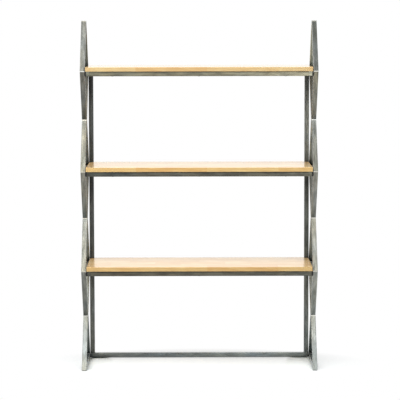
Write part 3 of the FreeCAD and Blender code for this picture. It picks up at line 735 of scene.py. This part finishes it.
def weld_beads(name, lines):
    """One plain mesh of weld beads along the given lines."""
    seams = bpy.data.meshes.new(name + "_seams")
    points = [point for line in lines for point in line]
    edges = [(2 * i, 2 * i + 1) for i in range(len(lines))]
    seams.from_pydata(points, edges, [])
    maker = bpy.data.objects.new(name + "_maker", seams)
    bpy.context.scene.collection.objects.link(maker)
    tree, sockets = bead_tree()
    modifier = maker.modifiers.new("weld_bead", "NODES")
    modifier.node_group = tree
    for input_name, (_, setting) in BEAD_INPUTS.items():
        modifier[sockets[input_name]] = setting
    bpy.context.view_layer.update()
    made = bpy.data.meshes.new_from_object(maker.evaluated_get(bpy.context.evaluated_depsgraph_get()))
    maker.modifiers.clear()
    bpy.data.objects.remove(maker)
    beads = bpy.data.objects.new(name, made)
    bpy.context.scene.collection.objects.link(beads)
    return beads


beads = weld_beads("weld_beads", strut_beads() + rack_beads())
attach(beads, "root")


# Studio

FLOOR_HALF = 15
# The floor keeps a faint shadow under the shelves and a full one at the feet of the side frames;
# outside these ellipses it fades to white
SHELF_SHADOW_HALF = (0.56, 0.3, 1)
SHELF_SHADOW_GLOW = 0.5
FOOT_SHADOW_X = 0.485
FOOT_SHADOW_HALF = (0.065, 0.2, 1)
FADE_END = 1.5
# Painted contact shadow: close to the feet the paper is darker, more on the left than on the right
PAPER = "#F6FBFC"
LEFT_CONTACT_SHADOW = "#4A605A"
RIGHT_CONTACT_SHADOW = "#DCE6E4"
CONTACT_REACH = 0.09
CONTACT_X = 0.4


def seen_white(tree):
    """A socket that is 1 for rays that show the background: straight, mirrored or through glass."""
    path = add_node(tree, "ShaderNodeLightPath").outputs
    mirrored = add_node(tree, "ShaderNodeMath", {
        0: path["Is Camera Ray"], 1: path["Is Glossy Ray"]}, operation="MAXIMUM")
    through = add_node(tree, "ShaderNodeMath", {
        0: mirrored.outputs[0], 1: path["Is Transmission Ray"]}, operation="MAXIMUM")
    return through.outputs[0]


def shadow_fade(tree, place, half, glow):
    """A socket that is the glow inside an ellipse and rises to 1 outside it."""
    scaled = add_node(tree, "ShaderNodeVectorMath", {
        0: place, 1: [1 / length for length in half]}, operation="MULTIPLY")
    distance = add_node(tree, "ShaderNodeVectorMath", {0: scaled.outputs["Vector"]}, operation="LENGTH")
    fade = add_node(tree, "ShaderNodeMapRange", {
        "Value": distance.outputs["Value"], "From Min": 1, "From Max": FADE_END, "To Min": glow})
    return fade.outputs["Result"]


def paper_colour(tree, place):
    """A socket with the paper's colour, darkened by a painted contact shadow close to the feet."""
    across = add_node(tree, "ShaderNodeSeparateXYZ", {0: place}).outputs["X"]
    rightward = add_node(tree, "ShaderNodeMapRange", {
        "Value": across, "From Min": -CONTACT_X, "From Max": CONTACT_X})
    # Painted contact shadow close to the feet
    contact_shadow = add_node(tree, "ShaderNodeMix", {
        MIX_SHARE: rightward.outputs["Result"], MIX_A: linear(LEFT_CONTACT_SHADOW), MIX_B: linear(RIGHT_CONTACT_SHADOW)},
        data_type="RGBA")
    paper = add_node(tree, "ShaderNodeMix", {
        MIX_SHARE: nook_share(tree, CONTACT_REACH, 1), MIX_A: linear(PAPER),
        MIX_B: contact_shadow.outputs[MIX_COLOUR]}, data_type="RGBA")
    return paper.outputs[MIX_COLOUR]


def studio_paper():
    """White matt paper from a roll: it keeps the shadow and fades into the white background."""
    material, tree, place = new_material("white_studio_paper")
    matt = add_node(tree, "ShaderNodeBsdfDiffuse", {"Color": paper_colour(tree, place)})
    glow = add_node(tree, "ShaderNodeEmission", {"Color": linear("#FFFFFF"), "Strength": 1})
    mirrored = add_node(tree, "ShaderNodeVectorMath", {0: place}, operation="ABSOLUTE")
    from_foot = add_node(tree, "ShaderNodeVectorMath", {
        0: mirrored.outputs["Vector"], 1: (FOOT_SHADOW_X, 0, 0)}, operation="SUBTRACT")
    under_shelf = shadow_fade(tree, place, SHELF_SHADOW_HALF, SHELF_SHADOW_GLOW)
    at_foot = shadow_fade(tree, from_foot.outputs["Vector"], FOOT_SHADOW_HALF, 0)
    fade = add_node(tree, "ShaderNodeMath", {0: under_shelf, 1: at_foot}, operation="MINIMUM")
    share = add_node(tree, "ShaderNodeMath", {0: seen_white(tree), 1: fade.outputs[0]}, operation="MULTIPLY")
    mixed = add_node(tree, "ShaderNodeMixShader", {
        0: share.outputs[0], 1: matt.outputs["BSDF"], 2: glow.outputs["Emission"]})
    add_node(tree, "ShaderNodeOutputMaterial", {"Surface": mixed.outputs["Shader"]})
    return material


def studio_floor():
    """A level square of studio paper."""
    mesh = bpy.data.meshes.new("floor")
    corners = [(-FLOOR_HALF, -FLOOR_HALF, 0), (FLOOR_HALF, -FLOOR_HALF, 0),
               (FLOOR_HALF, FLOOR_HALF, 0), (-FLOOR_HALF, FLOOR_HALF, 0)]
    mesh.from_pydata(corners, [], [(0, 1, 2, 3)])
    mesh.materials.append(studio_paper())
    floor = bpy.data.objects.new("floor", mesh)
    bpy.context.scene.collection.objects.link(floor)


def studio_world(strength):
    """A white room: plain soft light, and white where it is seen."""
    world = bpy.data.worlds.new("white_room")
    world.use_nodes = True
    tree = world.node_tree
    tree.nodes.clear()
    light = add_node(tree, "ShaderNodeBackground", {"Color": linear("#FFFFFF"), "Strength": strength})
    seen = add_node(tree, "ShaderNodeBackground", {"Color": linear("#FFFFFF"), "Strength": 1})
    mixed = add_node(tree, "ShaderNodeMixShader", {
        0: seen_white(tree), 1: light.outputs["Background"], 2: seen.outputs["Background"]})
    add_node(tree, "ShaderNodeOutputWorld", {"Surface": mixed.outputs["Shader"]})
    bpy.context.scene.world = world


def soft_box(name, place, target, width, height, power, mirrored=True):
    """A large area lamp that faces a point; one that is not mirrored leaves no glare on the steel."""
    lamp = bpy.data.lights.new(name, "AREA")
    lamp.shape = "RECTANGLE"
    lamp.size = width
    lamp.size_y = height
    lamp.energy = power
    holder = bpy.data.objects.new(name, lamp)
    holder.location = place
    holder.rotation_euler = (Vector(target) - Vector(place)).to_track_quat("-Z", "Y").to_euler()
    holder.visible_camera = False
    holder.visible_glossy = mirrored
    bpy.context.scene.collection.objects.link(holder)


# The photograph's camera, from its measured focal length, place and angles
SENSOR_WIDTH = 36
FRAME_PIXELS = 400
FOCAL_PIXELS = 2030.5
CAMERA_PLACE = (-0.0346, -9.5506, 1.6766)
CAMERA_PITCH = 0.0933
CAMERA_YAW = 0.0040
CAMERA_ROLL = -0.0017


def photo_camera():
    """A camera at the photograph's viewing angle."""
    forward = Vector((math.sin(CAMERA_YAW) * math.cos(CAMERA_PITCH),
                      math.cos(CAMERA_YAW) * math.cos(CAMERA_PITCH), -math.sin(CAMERA_PITCH)))
    level = Vector((math.cos(CAMERA_YAW), -math.sin(CAMERA_YAW), 0))
    upright = level.cross(forward)
    right = math.cos(CAMERA_ROLL) * level + math.sin(CAMERA_ROLL) * upright
    up = -math.sin(CAMERA_ROLL) * level + math.cos(CAMERA_ROLL) * upright
    lens = bpy.data.cameras.new("photo_camera")
    lens.sensor_fit = "HORIZONTAL"
    lens.sensor_width = SENSOR_WIDTH
    lens.lens = SENSOR_WIDTH * FOCAL_PIXELS / FRAME_PIXELS
    camera = bpy.data.objects.new("photo_camera", lens)
    turned = Matrix((right, up, -forward)).transposed().to_4x4()
    camera.matrix_world = Matrix.Translation(CAMERA_PLACE) @ turned
    bpy.context.scene.collection.objects.link(camera)
    bpy.context.scene.camera = camera


studio_floor()
studio_world(strength=0.4)
soft_box("front_box", place=(-0.4, -2.2, 2.5), target=(-0.1, -0.2, 0.5), width=3.4, height=1.8, power=78)
soft_box("overhead_box", place=(0, -1.7, 3.3), target=(0, 0, 0.7), width=2.4, height=1.2, power=45,
         mirrored=False)
soft_box("left_box", place=(-2.8, -0.9, 2.4), target=(0, 0, 0.3), width=1, height=1, power=24)
photo_camera()
bpy.context.scene.view_settings.view_transform = "Standard"
